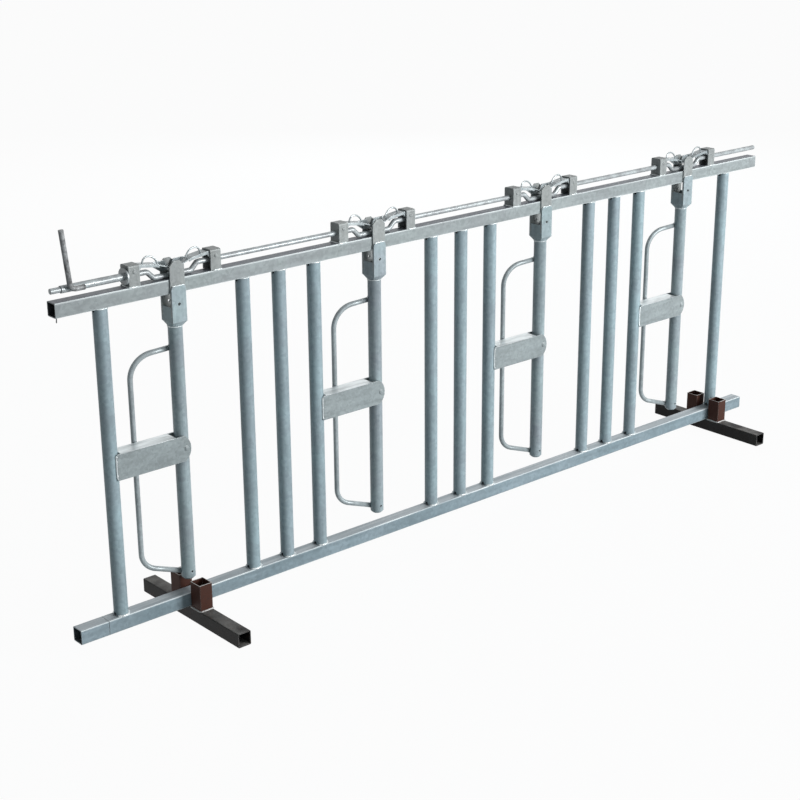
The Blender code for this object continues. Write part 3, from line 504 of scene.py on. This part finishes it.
top_rail_zinc = hot_dip_zinc("top_rail_zinc", RAIL_ZINC, RAIL_SHADE, dull=0.42,
                             runs=MARKS_ALONG, top=RAIL_TOP_PAINTED_SHADE, top_share=0.75,
                             square=True, bore=rail_bore("top_rail", RAIL_BORE_HALF))
dress(top_rail_zinc, ["top_rail"])

# A drip of zinc has frozen on the lower corner of the rail's left end, where the last
# of the bath ran off. Its path is given from that corner.
DRIP_TONE = (0.060, 0.064, 0.066)
DRIP_SIZE = 0.0016
DRIP_PATH = ((0.0035, 0.0025, 0.001), (0.0025, 0.0022, -0.006), (0.0018, 0.0008, -0.012))
DRIP_SEED = 90
drip_zinc = hot_dip_zinc("drip_zinc", DRIP_TONE, DRIP_TONE, edge=DRIP_TONE)
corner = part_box("top_rail")[0]
drip = [tuple(start + step for start, step in zip(corner, steps)) for steps in DRIP_PATH]
welded("top_rail_drip", [(drip, DRIP_SIZE)], drip_zinc, "frame", DRIP_SEED)

# The bottom rail and the stub sleeved into its left end lie close to the ground. Their
# zinc is bluer on the sides. Their top faces are paler, partly dust that has settled and partly
# painted light from above.
LOW_RAIL_ZINC = (0.225, 0.285, 0.320)
LOW_RAIL_SHADE = (0.175, 0.232, 0.262)
# Pale tone for top faces: partly dust, partly painted light.
DUST_AND_TOP_LIGHT = (0.50, 0.53, 0.55)
LOW_BORE_HALF = 0.0200
bottom_rail_zinc = hot_dip_zinc("bottom_rail_zinc", LOW_RAIL_ZINC, LOW_RAIL_SHADE, dull=0.48,
                                runs=MARKS_ALONG, top=DUST_AND_TOP_LIGHT, top_share=0.8,
                                square=True, bore=rail_bore("bottom_rail", LOW_BORE_HALF))
dress(bottom_rail_zinc, ["bottom_rail", "bottom_rail_stub"])

# The arms are the posts' tube, closed at the foot and cupped at the head. They shine a
# little more, since hands and necks rub them.
ARM_ZINC = (0.278, 0.348, 0.366)
ARM_SHADE = (0.245, 0.282, 0.308)
NECK_FOOT = 0.914
ROUND_STEP = math.radians(35)
ROUND_ROOM = 0.0003
SAME_POINT = 1e-5
arm_zinc = hot_dip_zinc("arm_zinc", ARM_ZINC, ARM_SHADE, dull=0.42)
units = range(1, 1 + sum(name.endswith("_guard_rod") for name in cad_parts))
post_low, post_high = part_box(posts[0])
post_radius = (post_high[0] - post_low[0]) / 2


def arm_axis(unit):
    """How far along the panel the axis of an arm stands."""
    low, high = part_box(f"arm_{unit}_tube")
    return (low[0] + high[0]) / 2


def shaded_round(name, finish, body, is_round=lambda spot: True):
    """The steel of a CAD node again, with the edges between its round facets smooth."""
    skin = bmesh.new()
    skin.from_mesh(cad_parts[name].data)
    bmesh.ops.remove_doubles(skin, verts=skin.verts, dist=SAME_POINT)
    for edge in skin.edges:
        edge.smooth = (edge.calc_face_angle(math.pi) < ROUND_STEP
                       and all(is_round(point.co) for point in edge.verts))
    piece = fixed_piece(name + "_round", skin, finish, body)
    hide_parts(name)


for unit in units:
    middle = arm_axis(unit)
    shaded_round(f"arm_{unit}_tube", arm_zinc, f"arm_{unit}",
                 lambda spot: spot.z < NECK_FOOT
                 and abs(math.hypot(spot.x - middle, spot.y) - post_radius) < ROUND_ROOM)

# Weld metal fills the cup's upper edges against the fork straps, and runs round the
# neck under the cup and round each end of the guard rod.
CUP_BEAD = 0.0019
NECK_BEAD = 0.0015
ROD_END_BEAD = 0.0022
CUP_TOP = 1.035
CUP_INSET = 0.003
END_REACH = 0.0012
ARM_SEED = 200

for unit in units:
    body = f"arm_{unit}"
    low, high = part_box(body + "_tube")
    middle = arm_axis(unit)
    beads = []
    for way in (-1, 1):
        face = way * (high[1] - CUP_BEAD)
        beads.append(([(low[0] + CUP_INSET, face, CUP_TOP), (high[0] - CUP_INSET, face, CUP_TOP)],
                      CUP_BEAD))
    beads.append((round_tube(middle, post_radius, NECK_FOOT), NECK_BEAD))
    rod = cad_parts[body + "_guard_rod"].data
    ends = [point.co.copy() for point in rod.vertices
            if math.hypot(point.co.x - middle, point.co.y) < post_radius + END_REACH]
    split = sum(point.z for point in ends) / len(ends)
    for group in ([p for p in ends if p.z > split], [p for p in ends if p.z <= split]):
        heart = sum(group, Vector()) / len(group)
        outward = Vector((heart.x - middle, heart.y, 0)).normalized()
        across = outward.cross((0, 0, 1))
        group.sort(key=lambda p: math.atan2((p - heart).z, (p - heart).dot(across)))
        beads.append((group + group[:1], ROD_END_BEAD))
    welded(body + "_welds", beads, weld_zinc, body, ARM_SEED + unit)

# The fork straps and latch brackets are cut and pressed from flat bar. Their faces are
# flat and warm, and their edges are lightened, partly bright sheared steel and partly a painted
# highlight.
PLATE_ZINC = (0.268, 0.285, 0.281)
PLATE_SHADE = (0.232, 0.247, 0.249)
PLATE_CRYSTALS = 140.0
plate_zinc = hot_dip_zinc("plate_zinc", PLATE_ZINC, PLATE_SHADE, dull=0.43,
                          crystals=PLATE_CRYSTALS)
brackets = sorted(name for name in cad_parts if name.startswith("latch_bracket_"))
dress(plate_zinc, [f"arm_{unit}_{side}_strap" for unit in units for side in ("front", "rear")])
dress(plate_zinc, brackets)

# The pivot channels are folded from a bluer sheet, smooth on the face. Their top faces
# are painted near white and made more metallic, as a painted highlight along the fold.
CHANNEL_ZINC = (0.265, 0.298, 0.305)
CHANNEL_SHADE = (0.235, 0.268, 0.276)
# A painted highlight for the channels' top faces.
CHANNEL_TOP_PAINTED_LIGHT = (0.90, 0.95, 0.96)
SHEET_MARKS = (0.15, 1, 1)
channel_zinc = hot_dip_zinc("channel_zinc", CHANNEL_ZINC, CHANNEL_SHADE, dull=0.38,
                            crystals=PLATE_CRYSTALS, patches=3.0, runs=SHEET_MARKS,
                            top=CHANNEL_TOP_PAINTED_LIGHT, top_share=0.95, top_metal=0.45)
channels = [f"pivot_channel_{unit}" for unit in units]
dress(channel_zinc, channels)

# The brackets are welded to the rail along their feet, in a rough bead that runs past
# the outer end and stops short of the inner one, where the arm's straps swing by. It is
# given from each end as (towards the arm, out from the rail's face, up).
FOOT_BEAD = 0.0024
END_BEAD = FOOT_BEAD * 0.9
END_BEAD_HALF = 0.019
RAIL_FACE = 0.0212
FOOT_RISE = 0.0002
FROM_OUTER_END = ((-0.004, 0.0, -0.0004), (0.010, 0.0006, 0.0))
FROM_INNER_END = ((-0.014, 0.0, -0.0008), (-0.0055, 0.0, 0.0))
BRACKET_SEED = 300

for number, name in enumerate(brackets):
    low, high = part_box(name)
    outer, inner = (low[0], high[0]) if name.endswith("left") else (high[0], low[0])
    inward = math.copysign(1.0, inner - outer)
    level = low[2] + FOOT_RISE
    path = [(end + inward * along, RAIL_FACE + out, level + up)
            for end, spots in ((outer, FROM_OUTER_END), (inner, FROM_INNER_END))
            for along, out, up in spots]
    beads = [([(x, side * y, z) for x, y, z in path], FOOT_BEAD) for side in (-1, 1)]
    beads.append(([(outer, -END_BEAD_HALF, level), (outer, END_BEAD_HALF, level)], END_BEAD))
    welded(name + "_welds", beads, weld_zinc, "frame", BRACKET_SEED + number)

# Each channel is welded to the neck post down both its edges, heavier at the corners,
# and with a bowed bead across its top where it meets the round of the post.
SEAM_BEAD = 0.0034
SEAM_SUNK_IN, SEAM_SUNK_BACK = SEAM_BEAD * 0.25, SEAM_BEAD * 0.7
SEAM_INSET = 0.002
TACK_BEAD = 0.0021
TACK_LENGTH = 0.011
TACK_SUNK = 0.0008
CHANNEL_FACE = 0.0242
BOW_IN, BOW_SLOPE, BOW_SUNK = 0.0135, 0.06, 0.0004
BOW_ACROSS = (-0.017, -0.008, 0.0, 0.008, 0.017)
CHANNEL_SEED = 400

for number, name in enumerate(channels):
    low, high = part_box(name)
    beads = []
    for side in (-1, 1):
        beads.append(([(low[0] - SEAM_SUNK_IN, side * (CHANNEL_FACE - SEAM_SUNK_BACK), tip)
                       for tip in (high[2] - SEAM_INSET, low[2] + SEAM_INSET)], SEAM_BEAD))
        for tip, way in ((high[2], -1), (low[2], 1)):
            beads.append(([(low[0] - TACK_SUNK, side * CHANNEL_FACE, tip + way * reach)
                           for reach in (SEAM_INSET, TACK_LENGTH)], TACK_BEAD))
    beads.append(([(low[0] + BOW_IN + BOW_SLOPE * abs(y), y, high[2] - BOW_SUNK)
                   for y in BOW_ACROSS], TACK_BEAD))
    welded(name + "_welds", beads, weld_zinc, "frame", CHANNEL_SEED + number)

# The guard rods are plain round bar bent cold, one to each arm. Each is welded to its
# arm at both ends and dipped with it.
GUARD_ZINC = (0.350, 0.392, 0.405)
GUARD_SHADE = (0.262, 0.295, 0.308)
guard_zinc = hot_dip_zinc("guard_zinc", GUARD_ZINC, GUARD_SHADE, dull=0.36, metal=0.2)

# Each was pulled round a wide former at the top and a smaller one at the foot, so it
# leaves the arm on a slant, clears the channel behind, and comes back on a slant.
GUARD_RADIUS = 0.008
GUARD_SIDES = 20
GUARD_REACH = 0.135
GUARD_BEHIND = 0.038
GUARD_TOP = 0.848
GUARD_TOP_FALL = 0.014
GUARD_CORNER = 0.190
GUARD_FOOT = 0.149
GUARD_WELD_Y = 0.0140
GUARD_BENDS = (0.074, 0.058)
BEND_STEP = math.radians(6)
FEWEST_STEPS = 2


def bent(corners, bends):
    """Corners joined by straight runs, with a round bend of a given radius at each."""
    path = [Vector(corners[0])]
    for before, corner, after, radius in zip(corners, corners[1:], corners[2:], bends):
        back = (Vector(before) - Vector(corner)).normalized()
        ahead = (Vector(after) - Vector(corner)).normalized()
        turn = math.pi - back.angle(ahead)
        reach = radius * math.tan(turn / 2)
        heart = Vector(corner) + (back + ahead).normalized() * radius / math.cos(turn / 2)
        first = Vector(corner) + back * reach - heart
        axis = back.cross(ahead).normalized()
        steps = max(FEWEST_STEPS, round(turn / BEND_STEP))
        for k in range(steps + 1):
            swing = Matrix.Rotation(-turn * k / steps, 3, axis)
            path.append(heart + swing @ first)
    return path + [Vector(corners[-1])]


def drawn_bar(path, radius, sides):
    """Round bar along a path, its section square to the bar all the way."""
    skin, rings, edge = bmesh.new(), [], None
    for here, spot in enumerate(path):
        run = (path[min(here + 1, len(path) - 1)] - path[max(here - 1, 0)]).normalized()
        edge = (edge or run.orthogonal()).normalized()
        edge = (edge - run * edge.dot(run)).normalized()
        far = run.cross(edge)
        rings.append([skin.verts.new(spot + radius * (edge * math.cos(turn)
                                                      + far * math.sin(turn)))
                      for turn in (math.tau * k / sides for k in range(sides))])
    close_rings(skin, rings)
    return skin


for unit in units:
    middle = arm_axis(unit)
    start = middle - math.sqrt(post_radius ** 2 - GUARD_WELD_Y ** 2) + GUARD_RADIUS
    corners = [(start, GUARD_WELD_Y, GUARD_TOP),
               (middle - GUARD_REACH, GUARD_BEHIND, GUARD_TOP - GUARD_TOP_FALL),
               (middle - GUARD_REACH, GUARD_BEHIND, GUARD_CORNER),
               (start, GUARD_WELD_Y, GUARD_FOOT)]
    skin = drawn_bar(bent(corners, GUARD_BENDS), GUARD_RADIUS, GUARD_SIDES)
    guard = fixed_piece(f"arm_{unit}_guard", skin, guard_zinc, f"arm_{unit}")
    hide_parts(f"arm_{unit}_guard_rod")

# The eight latches are pressed plate with a wire pull ring. They were plated before
# fitting, so they are cleaner and brighter than the dipped steel.
LATCH_ZINC = (0.39, 0.43, 0.44)
LATCH_SHADE = (0.25, 0.285, 0.30)
latch_zinc = hot_dip_zinc("latch_zinc", LATCH_ZINC, LATCH_SHADE, dull=0.30, crystals=160.0,
                          patches=30.0, metal=0.3, shine=0.5)
latches = [f"latch_{unit}_{side}" for unit in units for side in ("left", "right")]
dress(latch_zinc, latches)

# The release rod, its end sleeve and its handle are bright-plated round bar. Grease
# and handling have left grey-brown smears, most of all on the handle.
ROD_ZINC = (0.40, 0.435, 0.445)
ROD_SHADE = (0.275, 0.29, 0.30)
HANDLE_ZINC = (0.34, 0.35, 0.355)
HANDLE_SHADE = (0.075, 0.073, 0.075)
BAR_CRYSTALS = 150.0
SMEARS_ALONG = (0.35, 1, 1)
rod_zinc = hot_dip_zinc("rod_zinc", ROD_ZINC, ROD_SHADE, dull=0.30, crystals=BAR_CRYSTALS,
                        patches=38.0, runs=SMEARS_ALONG, metal=0.16, shine=0.38)
for name in ("release_rod", "rod_sleeve"):
    shaded_round(name, rod_zinc, "release_rod")
handle_zinc = hot_dip_zinc("handle_zinc", HANDLE_ZINC, HANDLE_SHADE, dull=0.40,
                           crystals=BAR_CRYSTALS, patches=60.0)
shaded_round("release_handle", handle_zinc, "release_rod")

# The handle's foot lies along the sleeve, and is welded to it above and below. Each
# bead is given as (along from the foot's end, across, away from the sleeve's axis).
HANDLE_BEAD = 0.0025
HANDLE_SEAM = ((-0.040, -0.0114, 0.0052), (0.003, -0.0106, 0.0048))
HANDLE_SEED = 500
foot_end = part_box("release_handle")[1][0]
sleeve_low, sleeve_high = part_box("rod_sleeve")
axis_height = (sleeve_low[2] + sleeve_high[2]) / 2
beads = [([(foot_end + along, across, axis_height + way * away)
           for along, across, away in HANDLE_SEAM], HANDLE_BEAD) for way in (-1, 1)]
welded("handle_welds", beads, weld_zinc, "release_rod", HANDLE_SEED)

# The two feet are square tube straight from the mill, under a thin dark scale. It is
# grey on faces that look up and nearly black down the sides, and rust has started in a few spots.
SCALE_DARK = (0.010, 0.009, 0.009)
SCALE_GREY = (0.165, 0.160, 0.153)
RUST_SPOT = (0.085, 0.035, 0.018)
BARE_STEEL = (0.36, 0.355, 0.35)
SAWN_STEEL = (0.62, 0.60, 0.58)

# The pattern of steel that was never dipped, to a metre, and how much each part covers.
STAINS_PER_METRE, STAIN_DETAIL, STAIN_BAND = 14.0, 5.0, (0.32, 0.62)
SCUFFS_PER_METRE, SCUFF_DETAIL = 120.0, 4.0
SPECKS_PER_METRE, SPECK_DETAIL, SPECK_LIFT = 850.0, 2.0, (0.85, 1.15)
SIDE_SHARE, TOP_SHARE = 0.10, 1.0
SPOT_BAND, SPOT_SHARE = (0.60, 0.72), (0.0, 0.5)
WORN_BAND, WORN_SHARE = (0.30, 0.55), (0.35, 1.0)
SAWN_UP = (0.80, 0.97)
STAIN_MATT = (0.9, 1.15)
SCUFF_RELIEF = (0.35, 0.0004)
OILY_SHINE = 0.12


def undipped_steel(name, dark, grey, spot, wear, matt, sawn=0.0, bore=None):
    """Bare or primed steel: uneven skin, a second tone on faces that look up, spots, scuffs, bare
    corners, and painted shade in a bore.
    """
    made, tree, shader, place = new_finish(name)
    stain = clouds(tree, place, STAINS_PER_METRE, STAIN_DETAIL)
    scuff = clouds(tree, place, SCUFFS_PER_METRE, SCUFF_DETAIL)
    speck = clouds(tree, place, SPECKS_PER_METRE, SPECK_DETAIL)
    edges, rounded = wear_and_highlight_edges(tree)
    upward = looking_up(tree)
    lying = tone(tree, upward, *LOOKING_UP, SIDE_SHARE, TOP_SHARE)
    body = laid_over(tree, product(tree, tone(tree, stain, *STAIN_BAND), lying), dark, grey)
    body = laid_over(tree, tone(tree, scuff, *SPOT_BAND, *SPOT_SHARE), body, spot)
    lift = tone(tree, speck, *GRAIN_BAND, *SPECK_LIFT)
    body = node(tree, "HueSaturation", {"Value": lift, "Color": body}).outputs[0]
    worn = product(tree, edges, tone(tree, scuff, *WORN_BAND, *WORN_SHARE), wear)
    body = laid_over(tree, worn, body, BARE_STEEL)
    rim = product(tree, tone(tree, upward, *SAWN_UP), sawn)
    body = laid_over(tree, rim, body, SAWN_STEEL)
    # Inside a bore the colour is painted dark as shade.
    if bore:
        body = laid_over(tree, in_bore(tree, place, *bore), body, dark)
    tree.links.new(body, shader.inputs["Base Color"])
    smooth, rough = STAIN_MATT
    tree.links.new(tone(tree, stain, *MATT_BAND, matt * smooth, matt * rough),
                   shader.inputs["Roughness"])
    tree.links.new(relief(tree, scuff, rounded, *SCUFF_RELIEF), shader.inputs["Normal"])
    shader.inputs["Specular IOR Level"].default_value = OILY_SHINE
    return made


foot_scale = undipped_steel("foot_scale", SCALE_DARK, SCALE_GREY, RUST_SPOT, wear=0.8, matt=0.46)
dress(foot_scale, ["foot_left", "foot_right"])

# The four sockets are short square tube in red-brown primer, sawn off after painting,
# so the top rim is bare steel. Their insides are painted dark as shade.
PRIMER_DARK = (0.050, 0.020, 0.014)
PRIMER_RED = (0.115, 0.044, 0.030)
PRIMER_SPOT = (0.022, 0.018, 0.017)
SOCKET_WALL = 0.0030
sockets = sorted(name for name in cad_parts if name.startswith("socket_"))
for name in sockets:
    low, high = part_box(name)
    middle = ((low[0] + high[0]) / 2, (low[1] + high[1]) / 2, 0.0)
    half = (high[0] - low[0]) / 2 - SOCKET_WALL / 2
    primer = undipped_steel(name + "_primer", PRIMER_DARK, PRIMER_RED, PRIMER_SPOT, wear=0.9,
                            matt=0.5, sawn=0.9, bore=(middle, "XY", half))
    dress(primer, [name])

# Each socket is welded round its foot and the rail is welded across both feet. These
# beads were run after dipping, so they are bare bright steel with a dark edge.
BARE_WELD = (0.50, 0.50, 0.49)
BARE_WELD_SHADE = (0.26, 0.25, 0.245)
SOCKET_BEAD = 0.0028
SOCKET_RISE = 0.0008
RAIL_BEAD = SOCKET_BEAD * 0.8
RAIL_RISE = 0.0010
RAIL_INSET = 0.002
SOCKET_SEED, FOOT_SEED = 600, 620
bare_weld = hot_dip_zinc("bare_weld", BARE_WELD, BARE_WELD_SHADE, dull=0.32,
                         crystals=WELD_CRYSTALS, shine=0.5)
for number, name in enumerate(sockets):
    low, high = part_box(name)
    corners = [(low[0], low[1]), (high[0], low[1]), (high[0], high[1]), (low[0], high[1])]
    loop = [(*corner, low[2] + SOCKET_RISE) for corner in corners + corners[:1]]
    welded(name + "_weld", [(loop, SOCKET_BEAD)], bare_weld, "frame",
           SOCKET_SEED + number)
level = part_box("bottom_rail")[0][2] + RAIL_RISE
for number, name in enumerate(("foot_left", "foot_right")):
    low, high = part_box(name)
    beads = [([(low[0] + RAIL_INSET, side * LOW_RAIL_EDGE, level),
               (high[0] - RAIL_INSET, side * LOW_RAIL_EDGE, level)], RAIL_BEAD)
             for side in (-1, 1)]
    welded(name + "_weld", beads, bare_weld, "frame", FOOT_SEED + number)
